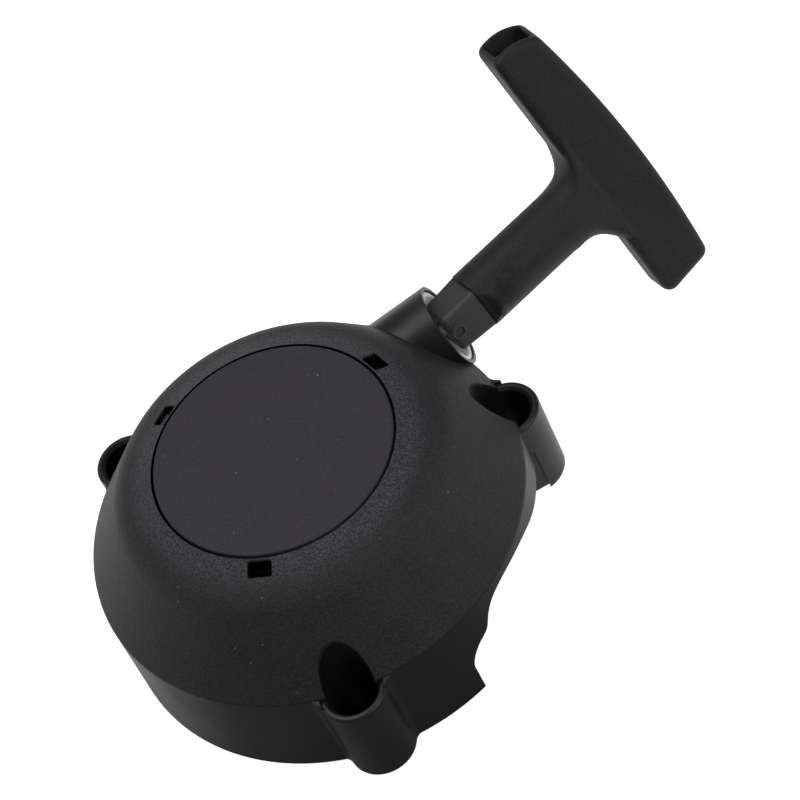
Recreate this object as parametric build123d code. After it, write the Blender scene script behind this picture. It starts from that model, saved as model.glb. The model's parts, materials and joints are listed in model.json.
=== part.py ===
from build123d import *
import math
import os

# Recoil starter for a small two-stroke engine.
# Millimetres. Origin: centre of the rear face that bolts to the engine. +Z: out of the domed cap.
# +X: the horizontal direction of the rope outlet.

# ---------------------------------------------------------------- housing shell
RIM_R = 66.0             # outer radius at the edge between the cone and the skirt
FOOT_R = 66.4            # outer radius at the rear face (draft)
SKIRT_H = 31.6           # height of the skirt
WALL = 2.6
CONE_DEG = 56.6          # slope of the cone, from horizontal
CROWN_DEG = 25.0         # slope of the ring around the cap
SHOULDER_R = 13.2        # outer rounding between the crown ring and the cone
RECESS_R = 36.7          # recess that the centre cap sits in
CROWN_Z = 63.0           # height of the crown ring at the recess
FLOOR_Z = 60.6           # recess floor
PLATE_Z = 58.0           # underside of the plate under the recess

CAP_R = 35.9
CAP_EDGE_R = 0.6
RECESS_LEAD = 0.35       # chamfer round the recess
CAP_Z = 63.5
SNAP_DEGS = (-113.0, 22.4, 131.3)
SNAP_W = 7.2
SNAP_IN = 37.15           # inner and outer edges of the snap windows
SNAP_OUT = 41.6
SNAP_CORNER_R = 0.7
LEG_IN = 33.2            # floor slot for a snap leg
LEG_OUT = 35.8
LEG_LOW = PLATE_Z - 2.6
RIB_COUNT = 12
RIB_IN = 47.5
RIB_T = 2.0
RIB_LOW = 43.0

# ---------------------------------------------------------------- mounting bosses
BOSS_DEGS = (4.2, -95.8, 134.2)
BOSS_PITCH_R = 64.6
BOSS_R = 10.1
BOSS_LIP_R = 1.1         # rounding of the top edge
BOSS_BLEND_R = 4.0       # concave blend into the skirt
BLEND_TOP = 31.5
BOSS_TOP = 30.2
POCKET_R = 7.4
POCKET_FLOOR = 6.0
SCREW_HOLE_R = 2.75      # M5 clearance

# ---------------------------------------------------------------- rope outlet
OUTLET_RISE = 16.3       # outlet axis above horizontal, degrees
OUTLET_END = (59.5, 33.6, 41.2)
OUTLET_R = 13.5
EYELET_R = 11.4          # bore for the eyelet body
EYELET_DEPTH = 15.0
LIP_R = 12.3
LIP_EDGE = -0.9          # the lip lies a little inside the outlet's rim
LIP_CREST = -0.35
MOUTH_Z = -0.7
MOUTH_R = 10.5
ROPE_HOLE_R = 2.7
ROTOR_CLEAR_R = 44.0     # nothing of the outlet reaches inside this radius

# ---------------------------------------------------------------- mechanism, heights from the rear face
POST_R = 6.0
POST_END = 15.8
HUB_R = 11.0
HUB_Z = 54.0
CASE_R = 41.0
CASE_TOP = 55.2
CASE_FLOOR = 53.4
CASE_RIM = 43.5
COVER_Z = 42.0
EAR_R = 46.0
EAR_DEGS = (75.0, 195.0, 315.0)
EAR_Z = 48.0
EAR_T = 2.6
EAR_BOSS_R = 4.2
CASE_SCREW_R = 1.65
CASE_SCREW_TOP = EAR_Z + 6.0
SCREW_HEAD_R = 3.6
SCREW_HEAD_T = 2.4
CROSS_DEPTH = 1.1        # cross recess in the screw's head
CROSS_HALF = 2.2
SPRING_Z = 44.4
SPRING_W = 8.6
STRIP_T = 0.6

ROPE_R = 1.8
ROPE_PITCH = 3.55
ROPE_Z = 34.3            # plane of the rope groove
ROPE_LAYERS = 6
KNOT_R = 3.4
KNOT_H = 4.4
STOP_KNOT_R = 3.9        # knot inside the handle
STOP_KNOT_H = 5.2
ROPE_TURN_R = 33.7       # outermost rope centre line
GROOVE_HALF = 2.1
GROOVE_FLOOR_R = 14.0
FLANGE_R = 39.5
FLANGE_T = 2.8
PLATFORM_Z = 27.0
PLATFORM_R = 27.0
ROTOR_HUB_R = 9.5
ROTOR_HUB_Z = 22.0
SPRING_HUB_R = 11.0
SPRING_HUB_TOP = 53.8
RUN_CLEAR = 0.05         # radial clearance of every running fit

PIVOT_R = 16.0           # pawl pivots, from the main axis
PAWL_REST_DEG = -100.0   # pawl arm from the outward radial, retracted
PAWL_ARM = 17.0
PAWL_Z = 22.8
PAWL_T = 4.0
PEG_ARM = 6.0
PEG_REST_DEG = -14.0
PEG_R = 1.5
PEG_Z = 19.8
PIN_R = 2.0
PIN_TOP = 31.4
CLIP_Z = 20.3
CLIP_T = 1.4
WASHER_Z = 18.9
WASHER_T = 1.2
WASHER_R = 19.0
ECLIP_Z = 17.8
ECLIP_T = 1.0
GROOVE_R = 4.9
KNOT_DEG = 65.0
KNOT_RING_R = 18.5

# ---------------------------------------------------------------- pull handle, lengths along the stem
STEM_DEG = 19.7          # heading of the stem in the horizontal plane
STEM_RISE = 5.4          # stem above horizontal
GRIP_ROLL = 29.3         # long arm of the grip, from straight up, about the stem
NOSE_TIP = -2.2
NOSE_W = 13.3            # square nose at its tip
NOSE_ROOT_W = 14.6       # and where it enters the stem
NOSE_CORNER_R = 2.0
NOSE_ROLL = 12.0
MARK_R = 2.4             # moulding ring on one flat of the nose
MARK_T = 0.4
MARK_LINE = 0.8
MARK_AT = (-0.4, 0.15)    # across the flat, and along the stem
STEM_START = 10.2
STEM_R = 9.6
STEM_BORE = 6.6
SCOOP = ((7.45, 10.2), (8.2, 12.0), (9.6, 14.1))   # scooped flat: distance from the stem's axis, height
GRIP_LOW = 57.9          # underside of the long arm
GRIP_LOW_SHORT = 56.1    # underside of the short arm
GRIP_HIGH = 73.7
GRIP_CROWN = 3.1         # extra height at the middle of the grip
GRIP_T = 15.8
ARM_LONG = 53.0
ARM_SHORT = 39.6
END_SLANT = 2.6
END_BOW = 2.2            # outward bow of the long arm's open end
END_SKEW = 1.25          # open end: back face further out, front face further in
GRIP_LEAN = 5.0          # grip's section turned about its own length
GRIP_CORNER_R = 3.2
OPEN_CORNER_R = 2.8      # at the open end, where the crown meets it
GRIP_EDGE_R = 2.5
GRIP_WALL = 2.4
DAMPER_LOW = 16.4
DAMPER_TOP = 47.0
PLUNGER_T = 3.0
COIL_R = 4.9
COIL_WIRE = 0.65

# flare from the round stem into the grip: height, shift, half length, half thickness, corner radius
STEM_FLARE = (
    (43.0, 0.0, STEM_R + 0.05, STEM_R + 0.05, 9.6),
    (47.0, 0.0, STEM_R + 0.05, 9.5, 9.2),
    (50.5, 0.2, 10.2, 9.1, 8.2),
    (54.0, 1.0, 12.4, 8.4, 6.5),
    (57.0, 0.6, 17.4, 7.8, 5.0),
    (59.5, 0.0, 25.0, 7.4, 4.6),
)


def polar(radius, degrees, z=0.0):
    a = math.radians(degrees)
    return (radius * math.cos(a), radius * math.sin(a), z)


def rod(radius, z0, z1, at=(0, 0)):
    return Pos(at[0], at[1], (z0 + z1) / 2) * Cylinder(radius, z1 - z0)


def ring(r_out, r_in, z0, z1):
    return rod(r_out, z0, z1) - rod(r_in, z0 - 1, z1 + 1)


def block(x0, x1, y0, y1, z0, z1):
    return Pos((x0 + x1) / 2, (y0 + y1) / 2, (z0 + z1) / 2) * Box(x1 - x0, y1 - y0, z1 - z0)


def lathe(curves):
    """Solid of revolution about Z from curves in the XZ plane."""
    return revolve(make_face(Wire(curves)), Axis.Z)


def chain(points):
    """Straight edges through (r, z) points in the XZ plane."""
    corners = [Vector(r, 0, z) for r, z in points]
    return [Edge.make_line(a, b) for a, b in zip(corners, corners[1:])]


def arc(start, middle, end):
    return Edge.make_three_point_arc(*[Vector(r, 0, z) for r, z in (start, middle, end)])


def outlet_plane():
    a = math.radians(OUTLET_RISE)
    return Plane(origin=OUTLET_END, x_dir=(0, 1, 0), z_dir=(math.cos(a), 0, math.sin(a)))


def handle_plane():
    """Origin at the outlet's mouth, Z along the stem, X towards the grip's short arm."""
    heading = math.radians(STEM_DEG)
    rise = math.radians(STEM_RISE)
    roll = math.radians(-90 - GRIP_ROLL)
    along = Vector(math.cos(rise) * math.cos(heading), math.cos(rise) * math.sin(heading), math.sin(rise))
    level = Vector(-math.sin(heading), math.cos(heading), 0)
    upright = along.cross(level)
    grip = level * math.cos(roll) + upright * math.sin(roll)
    return Plane(origin=OUTLET_END, x_dir=grip, z_dir=along)


def shoulder_centre():
    """Centre of the rounding that touches both the crown ring and the cone."""
    crown = math.radians(CROWN_DEG)
    cone = math.radians(CONE_DEG)
    nc = (math.sin(crown), math.cos(crown))
    nk = (math.sin(cone), math.cos(cone))
    hc = nc[0] * RECESS_R + nc[1] * CROWN_Z - SHOULDER_R
    hk = nk[0] * RIM_R + nk[1] * SKIRT_H - SHOULDER_R
    det = nc[0] * nk[1] - nc[1] * nk[0]
    centre = ((hc * nk[1] - nc[1] * hk) / det, (nc[0] * hk - hc * nk[0]) / det)
    return centre, nc, nk


def dome_arc(inset):
    """The shoulder's arc, from the crown ring to the cone, inset from the outer face."""
    centre, nc, nk = shoulder_centre()
    radius = SHOULDER_R - inset
    mid = math.radians((CROWN_DEG + CONE_DEG) / 2)
    nm = (math.sin(mid), math.cos(mid))
    return [(centre[0] + radius * n[0], centre[1] + radius * n[1]) for n in (nc, nm, nk)]


def envelope():
    """The filled outside of the dome and skirt, without the cap recess."""
    a, m, b = dome_arc(0)
    top = chain([(0, CROWN_Z), (RECESS_R, CROWN_Z), a])
    side = chain([b, (RIM_R, SKIRT_H), (FOOT_R, 0), (0, 0), (0, CROWN_Z)])
    return lathe(top + [arc(a, m, b)] + side)


def cavity():
    """The hollow inside of the dome and skirt."""
    a, m, b = dome_arc(WALL)
    drop = (a[1] - PLATE_Z) / math.tan(math.radians(CROWN_DEG))
    rim = (RIM_R - WALL * math.sin(math.radians(CONE_DEG)), SKIRT_H - WALL * math.cos(math.radians(CONE_DEG)))
    top = chain([(0, PLATE_Z), (a[0] + drop, PLATE_Z), a])
    side = chain([b, rim, (FOOT_R - WALL, 0), (FOOT_R - WALL, -1), (0, -1), (0, PLATE_Z)])
    return lathe(top + [arc(a, m, b)] + side)


def boss_solids(outside):
    """Screw bosses: a full ring outside the skirt, carried up inside the cone as a pocket wall."""
    bosses = []
    for degrees in BOSS_DEGS:
        x, y, _ = polar(BOSS_PITCH_R, degrees)
        low = rod(BOSS_R, 0, BOSS_TOP, (x, y))
        low = fillet(low.edges().group_by(Axis.Z)[-1], BOSS_LIP_R)
        high = rod(BOSS_R, BOSS_TOP - 4, CROWN_Z, (x, y)) & outside
        bosses += [low, high]
    return bosses


def boss_blend(degrees, side):
    """Concave blend between a boss and the skirt, on one side of the boss."""
    reach = RIM_R + BOSS_BLEND_R
    gap = BOSS_R + BOSS_BLEND_R
    spread = math.acos((reach ** 2 + BOSS_PITCH_R ** 2 - gap ** 2) / (2 * reach * BOSS_PITCH_R))
    hollow = polar(reach, degrees + side * math.degrees(spread))[:2]
    boss = polar(BOSS_PITCH_R, degrees)[:2]
    wedge = Polygon((0, 0), boss, hollow, align=None) - Pos(*hollow) * Circle(BOSS_BLEND_R)
    wedge -= Pos(*boss) * Circle(BOSS_R - BOSS_LIP_R / 2)
    return extrude(wedge - Circle(RIM_R - WALL / 2), amount=BLEND_TOP, dir=(0, 0, 1))


def boss_cuts(outside):
    """Screw-head pockets, open through the cone, and their screw holes."""
    cuts = []
    for degrees in BOSS_DEGS:
        x, y, _ = polar(BOSS_PITCH_R, degrees)
        lead = Pos(x, y, BOSS_TOP - 0.5) * Cone(POCKET_R, POCKET_R + 1.0, 1.02)
        cuts.append(rod(POCKET_R, POCKET_FLOOR, CROWN_Z, (x, y)))
        cuts.append(lead - outside)
        cuts.append(rod(SCREW_HOLE_R, -1, POCKET_FLOOR + 1, (x, y)))
    return cuts


def skirt_window():
    """Cutter for the stepped opening in the skirt between two bosses."""
    middle_deg = -35.0
    left = [(-34.2, -1), (-34.2, 10.5)]
    curve = [(-34.2, 10.5), (-32.6, 14.8), (-29.2, 17.9), (-26.6, 19.3), (-24.9, 22.0), (-21.2, 26.6)]
    crest = [(-21.2, 26.6), (-16.0, 28.4), (-8.5, 28.4), (-0.8, 27.2), (8.3, 24.2), (18.0, 21.4), (31.0, 18.8)]
    up_left = Edge.make_line(Vector(*left[0]), Vector(*left[1]))
    wave = Edge.make_spline([Vector(*p) for p in curve + crest[1:]])
    down = Polyline((31.0, 18.8), (40.0, 18.8), (40.0, -1), (-34.2, -1)).edges()
    face = make_face(Wire([up_left, wave] + list(down)))
    side = Plane(origin=polar(30.0, middle_deg), x_dir=polar(1, middle_deg + 90), z_dir=polar(1, middle_deg))
    prism = extrude(side * face, amount=45)
    inside_foot = rod(RIM_R * 1.02, -2, SKIRT_H)
    boss_side = Rot(0, 0, 6.7) * block(-100, 100, -100, -11.5, -5, 60)
    return prism & inside_foot & boss_side


def snap_windows():
    cuts = []
    for degrees in SNAP_DEGS:
        turn = Rot(0, 0, degrees)
        half = SNAP_W / 2
        window = block(SNAP_IN, SNAP_OUT, -half, half, PLATE_Z - 4, CROWN_Z + 1)
        cuts.append(turn * fillet(window.edges().filter_by(Axis.Z), SNAP_CORNER_R))
        cuts.append(turn * block(LEG_IN, LEG_OUT, -half, half, PLATE_Z - 1, FLOOR_Z + 1))
    return cuts


def ribs(hollow):
    """Stiffening ribs under the dome, outside the spring case."""
    solids = []
    for i in range(RIB_COUNT):
        blade = block(RIB_IN, RIM_R, -RIB_T / 2, RIB_T / 2, RIB_LOW, PLATE_Z)
        blade = Rot(0, 0, i * 360 / RIB_COUNT) * blade
        solids.append(blade & hollow)
    return solids


def starter_post():
    shaft = rod(POST_R, POST_END, HUB_Z + 2)
    shaft = chamfer(shaft.edges().group_by(Axis.Z)[0], 0.8)
    head = extrude(Pos(0, 0, HUB_Z + 1.5) * RegularPolygon(8.0, 12), amount=4)
    neck = ring(POST_R + 2, GROOVE_R, ECLIP_Z - 0.05, ECLIP_Z + ECLIP_T + 0.05)
    return shaft + head - neck


def starter_housing():
    outside = envelope()
    hollow = cavity()
    body = outside - hollow - rod(RECESS_R, FLOOR_Z, CROWN_Z + 1)
    body -= Pos(0, 0, CROWN_Z) * Cone(RECESS_R - RECESS_LEAD, RECESS_R + RECESS_LEAD, 2 * RECESS_LEAD)
    for solid in boss_solids(outside):
        body += solid
    for degrees in BOSS_DEGS:
        for side in (-1, 1):
            if (degrees, side) != (BOSS_DEGS[0], -1):
                body += boss_blend(degrees, side)
    for rib in ribs(hollow):
        body += rib
    body += rod(HUB_R, HUB_Z, PLATE_Z + 0.1)
    for degrees in EAR_DEGS:
        x, y, _ = polar(EAR_R, degrees)
        body += rod(EAR_BOSS_R, EAR_Z, PLATE_Z, (x, y)) & outside
    outlet = outlet_plane() * (Pos(0, 0, -18) * Cylinder(OUTLET_R, 36))
    outlet -= rod(ROTOR_CLEAR_R, 0, PLATE_Z)
    body += outlet
    bore = outlet_plane() * (Pos(0, 0, -EYELET_DEPTH / 2 + 0.5) * Cylinder(EYELET_R, EYELET_DEPTH + 1))
    seat = rod(LIP_R + 0.05, LIP_EDGE, 2)
    flare = Pos(0, 0, LIP_EDGE - 0.5) * Cone(EYELET_R, LIP_R + 0.05, 1.0) + seat
    flare = outlet_plane() * flare
    passage = outlet_plane() * (Pos(0, 0, -30) * Cylinder(6.0, 40))
    body = body - bore - flare - passage
    body -= skirt_window()
    for cut in boss_cuts(outside) + snap_windows():
        body -= cut
    for degrees in EAR_DEGS:
        x, y, _ = polar(EAR_R, degrees)
        body -= rod(CASE_SCREW_R + 0.05, EAR_Z - 1, CASE_SCREW_TOP + 0.6, (x, y))
    return body - starter_post()


def centre_cap():
    disc = rod(CAP_R, FLOOR_Z, CAP_Z)
    disc = fillet(disc.edges().group_by(Axis.Z)[-1], CAP_EDGE_R)
    half = SNAP_W / 2 - 0.3
    for degrees in SNAP_DEGS:
        leg = block(LEG_IN + 0.2, LEG_OUT - 0.2, -half, half, LEG_LOW, FLOOR_Z + 0.5)
        hook = block(LEG_IN + 0.2, SNAP_IN + 1.3, -half, half, LEG_LOW, PLATE_Z - 0.1)
        hook = chamfer(hook.edges().group_by(Axis.Z)[0].sort_by(Axis.X)[-1], 1.8)
        disc += Rot(0, 0, degrees) * (leg + hook)
    return disc


def rope_eyelet():
    """Trumpet-shaped bush in the outlet's mouth."""
    body_r = EYELET_R - 0.05
    deep = -EYELET_DEPTH + 0.2
    bell = [(MOUTH_R, MOUTH_Z), (7.75, -5.6), (ROPE_HOLE_R, -12.0)]
    lip = chain([(LIP_R, LIP_EDGE), (body_r, LIP_EDGE - 1.0), (body_r, deep), (ROPE_HOLE_R + 1.2, deep)])
    throat = [arc((ROPE_HOLE_R + 1.2, deep), (ROPE_HOLE_R + 0.35, deep + 0.35), (ROPE_HOLE_R, deep + 1.2))]
    funnel = chain([(ROPE_HOLE_R, deep + 1.2), bell[2]]) + [arc(bell[2], bell[1], bell[0])]
    crest = [arc(bell[0], ((MOUTH_R + LIP_R) / 2, LIP_CREST), (LIP_R, LIP_EDGE))]
    return outlet_plane() * lathe(lip + throat + funnel + crest)


def spring_case():
    cup = ring(CASE_R, CASE_R - 2, CASE_RIM, CASE_FLOOR + 0.1) + ring(CASE_R, HUB_R + 0.3, CASE_FLOOR, CASE_TOP)
    for degrees in EAR_DEGS:
        turn = Rot(0, 0, degrees)
        half = EAR_BOSS_R + 0.2
        ear = rod(half, EAR_Z - EAR_T, EAR_Z, (EAR_R, 0))
        strap = block(CASE_R - 1, EAR_R, -half, half, EAR_Z - EAR_T, EAR_Z)
        cup += turn * (ear + strap - rod(CASE_SCREW_R + 0.45, EAR_Z - 4, EAR_Z + 1, (EAR_R, 0)))
    return cup - Rot(0, 0, 180) * block(CASE_R - 3, CASE_R + 1, -0.6, 0.6, CASE_RIM - 1, CASE_FLOOR)


def case_cover():
    plate = ring(CASE_R - 0.2, SPRING_HUB_R + 0.5, COVER_Z, CASE_RIM)
    for i in range(6):
        plate -= Rot(0, 0, 30 + i * 60) * rod(3.0, COVER_Z - 1, CASE_RIM + 1, (28, 0))
    return plate


def case_screws():
    solids = []
    for degrees in EAR_DEGS:
        x, y, _ = polar(EAR_R, degrees)
        seat = EAR_Z - EAR_T
        face = seat - SCREW_HEAD_T
        head = rod(SCREW_HEAD_R, face, seat, (x, y))
        head = fillet(head.edges().group_by(Axis.Z)[0], 0.9)
        slot = block(x - 0.5, x + 0.5, y - CROSS_HALF, y + CROSS_HALF, face - 1, face + CROSS_DEPTH)
        cross = block(x - CROSS_HALF, x + CROSS_HALF, y - 0.5, y + 0.5, face - 1, face + CROSS_DEPTH)
        solids.append(head + rod(CASE_SCREW_R, seat - 0.4, CASE_SCREW_TOP, (x, y)) - slot - cross)
    return Compound(solids)


def recoil_spring():
    """Flat strip wound as an even spiral from the rotor hub out to the case wall."""
    turns = 11
    inner = SPRING_HUB_R + 0.6
    outer = CASE_R - 2.6
    samples = 16 * turns
    rails = []
    for offset in (0.0, STRIP_T):
        points = []
        for i in range(samples + 1):
            share = i / samples
            points.append(Vector(*polar(inner + (outer - STRIP_T - inner) * share + offset, 180 + 360 * turns * share)))
        rails.append(Edge.make_spline(points))
    ends = [Edge.make_line(rails[0] @ t, rails[1] @ t) for t in (0, 1)]
    strip = extrude(make_face(Wire(rails + ends)), amount=SPRING_W)
    hook = block(-CASE_R + 0.4, -outer + STRIP_T, -STRIP_T / 2, STRIP_T / 2, 0, SPRING_W)
    return Pos(0, 0, SPRING_Z) * (strip + hook)


def rope_rotor():
    """Rope pulley with its spring hub above and the pawl platform below."""
    low_flange = ROPE_Z - GROOVE_HALF
    high_flange = ROPE_Z + GROOVE_HALF
    body = rod(ROTOR_HUB_R, ROTOR_HUB_Z, SPRING_HUB_TOP) + rod(SPRING_HUB_R, high_flange, SPRING_HUB_TOP)
    body += rod(GROOVE_FLOOR_R, PLATFORM_Z, high_flange + FLANGE_T)
    body += rod(PLATFORM_R, PLATFORM_Z, low_flange)
    for low, high in ((low_flange - FLANGE_T, low_flange), (high_flange, high_flange + FLANGE_T)):
        disc = rod(FLANGE_R, low, high)
        body += fillet(disc.edges(), 1.1)
    for i in range(12):
        spoke = block(PLATFORM_R - 1, FLANGE_R - 3, -0.8, 0.8, PLATFORM_Z, low_flange - 1)
        body += Rot(0, 0, 15 + 30 * i) * spoke
    body -= rod(POST_R + RUN_CLEAR, 0, CAP_Z)
    for turn in (0, 180):
        body -= rod(PIN_R + RUN_CLEAR, 0, PIN_TOP + 0.2, polar(PIVOT_R, turn)[:2])
    knot = polar(KNOT_RING_R, KNOT_DEG)[:2]
    body -= rod(4.3, 0, low_flange - 1.2, knot)
    body -= rod(ROPE_R + 0.2, 0, ROPE_Z, knot)
    notch = block(-SPRING_HUB_R - 1, -SPRING_HUB_R + 2.2, -1.0, 1.0, SPRING_Z - 0.4, SPRING_HUB_TOP + 1)
    return body - notch


def rope_coil():
    """Rope wound on the pulley, one strand wide, as a ribbed ring."""
    half = ROPE_PITCH / 2
    rise = math.sqrt(ROPE_R ** 2 - half ** 2)
    radii = [ROPE_TURN_R - ROPE_PITCH * i for i in range(ROPE_LAYERS)]
    first, last = radii[0] - half, radii[-1] + half
    upper = []
    lower = []
    for r in radii[1:-1]:
        upper.append(arc((r + half, ROPE_Z + rise), (r, ROPE_Z + ROPE_R), (r - half, ROPE_Z + rise)))
        lower.append(arc((r - half, ROPE_Z - rise), (r, ROPE_Z - ROPE_R), (r + half, ROPE_Z - rise)))
    inside = arc((last, ROPE_Z + rise), (radii[-1] - ROPE_R, ROPE_Z), (last, ROPE_Z - rise))
    outside = arc((first, ROPE_Z - rise), (radii[0] + ROPE_R, ROPE_Z), (first, ROPE_Z + rise))
    curves = upper + [inside] + lower[::-1] + [outside]
    return lathe(curves)


def rotor_knot():
    """Knotted rope end in the pocket under the pulley."""
    x, y, _ = polar(KNOT_RING_R, KNOT_DEG)
    low = ROPE_Z - GROOVE_HALF - 1.25
    knot = Pos(x, y, low - KNOT_H / 2) * (Sphere(KNOT_R) & Box(8, 8, KNOT_H))
    return knot + rod(ROPE_R, low - 1, ROPE_Z - ROPE_R - 0.05, (x, y))


def pawl():
    """Bell crank: toothed arm inwards-trailing, drive peg outwards, pivot pin up into the pulley."""
    pivot = Vector(PIVOT_R, 0)
    tip = pivot + Vector(*polar(PAWL_ARM, PAWL_REST_DEG))
    peg = pivot + Vector(*polar(PEG_ARM, PEG_REST_DEG))
    flat = Pos(*pivot) * Circle(4.2) + Pos(*peg) * Circle(2.6)
    side = (tip - pivot).normalized()
    across = Vector(-side.Y, side.X)
    arm = Polygon(
        tuple(pivot + across * 4.0)[:2],
        tuple(pivot - across * 4.0)[:2],
        tuple(tip - across * 1.2)[:2],
        tuple(tip + side * 1.8 + across * 2.6)[:2],
        tuple(tip - side * 4.0 + across * 2.8)[:2],
        align=None,
    )
    web = Pos(*((pivot + peg) * 0.5)) * Rot(0, 0, PEG_REST_DEG) * Rectangle(PEG_ARM, 5.0)
    body = Pos(0, 0, PAWL_Z) * extrude(flat + arm + web, amount=PAWL_T)
    body = body + rod(PEG_R, PEG_Z, PAWL_Z + 1, (peg.X, peg.Y))
    return body + rod(PIN_R, PAWL_Z + 1, PIN_TOP, (pivot.X, pivot.Y))


def pawl_clip():
    """Friction clip: a ring that grips the post, with a hairpin arm for each pawl peg."""
    width = 2 * PEG_R + 3.0
    slot = 2 * PEG_R + 0.2
    end = PIVOT_R + PEG_ARM + 0.8
    flat = Circle(POST_R + 1.5)
    lean = math.degrees(math.atan2(PEG_ARM * math.sin(math.radians(PEG_REST_DEG)),
                                   PIVOT_R + PEG_ARM * math.cos(math.radians(PEG_REST_DEG))))
    for turn in (0, 180):
        arm = Pos(end / 2, 0) * Rectangle(end, width) + Pos(end, 0) * Circle(width / 2)
        gap = Pos((POST_R + 2.2 + end) / 2, 0) * Rectangle(end - POST_R - 2.2, slot) + Pos(end, 0) * Circle(slot / 2)
        flat = flat + Rot(0, 0, turn + lean) * (arm - gap)
    flat = flat - Circle(POST_R + RUN_CLEAR)
    return Pos(0, 0, CLIP_Z) * extrude(flat, amount=CLIP_T)


def thrust_washer():
    return ring(WASHER_R, POST_R + 0.1, WASHER_Z, WASHER_Z + WASHER_T)


def retaining_clip():
    """E-clip in the groove at the post's end."""
    flat = Circle(9.2) - Circle(GROOVE_R + 0.05) - Pos(8, 0) * Rectangle(16, 7.4)
    for degrees in (80, 180, 280):
        flat -= Rot(0, 0, degrees + 45) * (Pos(6.4, 0) * Rectangle(2.0, 3.0))
    return Pos(0, 0, ECLIP_Z) * extrude(flat, amount=ECLIP_T)


def rope_lead():
    """Rope from the pulley to the outlet: level off the pulley, then up along the outlet's axis."""
    rise = math.tan(math.radians(OUTLET_RISE))
    bend = Vector(OUTLET_END[0] - (OUTLET_END[2] - ROPE_Z) / rise, OUTLET_END[1], ROPE_Z)
    end = (outlet_plane() * Pos(0, 0, -4)).position
    path = FilletPolyline(Vector(16.5, OUTLET_END[1], ROPE_Z), bend, end, radius=12)
    return sweep(Plane(origin=path @ 0, z_dir=path % 0) * Circle(ROPE_R), path=path)


def on_stem(solid):
    return handle_plane() * solid


def rope_run():
    return on_stem(rod(ROPE_R, -2.0, DAMPER_TOP + PLUNGER_T + 0.2))


def handle_knot():
    low = DAMPER_TOP + PLUNGER_T
    knot = Pos(0, 0, low + STOP_KNOT_H / 2) * (Sphere(STOP_KNOT_R) & Box(9, 9, STOP_KNOT_H))
    return on_stem(knot + rod(ROPE_R, low + 4, low + 9) - rod(ROPE_R, low - 1, low + 0.2))


def spring_plunger():
    cup = rod(6.1, DAMPER_TOP, DAMPER_TOP + PLUNGER_T) + rod(3.6, DAMPER_TOP - 3.5, DAMPER_TOP)
    return on_stem(cup - rod(ROPE_R + 0.1, 0, DAMPER_TOP + 9))


def damper_spring():
    height = DAMPER_TOP - DAMPER_LOW - 2 * COIL_WIRE - 0.1
    helix = Helix(pitch=height / 9, height=height, radius=COIL_R)
    coil = sweep(Plane(origin=helix @ 0, z_dir=helix % 0) * Circle(COIL_WIRE), path=helix)
    return on_stem(Pos(0, 0, DAMPER_LOW + COIL_WIRE + 0.05) * coil)


def handle_nose():
    """Square nose that closes the stem and seats the damper spring."""
    ends = []
    for z, width in ((NOSE_TIP, NOSE_W), (STEM_START, NOSE_ROOT_W)):
        ends.append(Pos(0, 0, z) * RectangleRounded(width, width, NOSE_CORNER_R))
    bar = loft(ends, ruled=True)
    bar = fillet(bar.edges().group_by(Axis.Z)[0], 1.2)
    flat = (NOSE_W + 0.4) / 2
    mark = Circle(MARK_R) - Circle(MARK_R - MARK_LINE)
    mark = extrude(Pos(MARK_AT[0], MARK_AT[1]) * mark, amount=MARK_T + 1.1)
    bar += Plane(origin=(0, -flat + 1.0, 0), x_dir=(1, 0, 0), z_dir=(0, -1, 0)) * mark
    bar = Rot(0, 0, NOSE_ROLL) * bar
    plug = rod(STEM_BORE - 0.05, STEM_START, DAMPER_LOW)
    return on_stem(bar + plug - rod(ROPE_R + 0.6, NOSE_TIP - 1, DAMPER_LOW + 1))


def grip_outline(skew):
    """Side view of the grip, X along the grip and Y along the stem; skew moves the open end outwards."""
    low_a = (-ARM_LONG - skew, GRIP_LOW)
    high_a = (-ARM_LONG + END_SLANT - skew, GRIP_HIGH)
    middle_a = ((low_a[0] + high_a[0]) / 2 - END_BOW, (GRIP_LOW + GRIP_HIGH) / 2)
    low_b = (ARM_SHORT, GRIP_LOW_SHORT)
    high_b = (ARM_SHORT - END_SLANT, GRIP_HIGH)
    crest = ((ARM_SHORT - ARM_LONG) / 2, GRIP_HIGH + GRIP_CROWN)
    edges = [
        Edge.make_line(low_a, low_b),
        Edge.make_line(low_b, high_b),
        Edge.make_three_point_arc(high_b, crest, high_a),
        Edge.make_three_point_arc(high_a, middle_a, low_a),
    ]
    face = make_face(Wire(edges))
    corners = face.vertices().sort_by(Axis.X)
    face = fillet(corners[2:], GRIP_CORNER_R)
    corners = face.vertices().sort_by(Axis.X)
    return fillet(corners[:2], OPEN_CORNER_R)


def lean_grip(solid):
    middle = (GRIP_LOW + GRIP_HIGH) / 2
    return Pos(0, 0, middle) * Rot(GRIP_LEAN, 0, 0) * Pos(0, 0, -middle) * solid


def grip_blank():
    half = GRIP_T / 2
    faces = []
    for side in (-1, 1):
        plane = Plane(origin=(0, side * half, 0), x_dir=(1, 0, 0), z_dir=(0, -1, 0))
        faces.append(plane * grip_outline(side * END_SKEW))
    blank = loft(faces, ruled=True)
    rims = blank.edges().group_by(Axis.Y)
    return fillet(rims[0] + rims[-1], GRIP_EDGE_R)


def stem_flare():
    sections = []
    for z, shift, half_x, half_y, corner in STEM_FLARE:
        sections.append(Pos(shift, 0, z) * RectangleRounded(2 * half_x, 2 * half_y, corner))
    return loft(sections)


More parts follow.
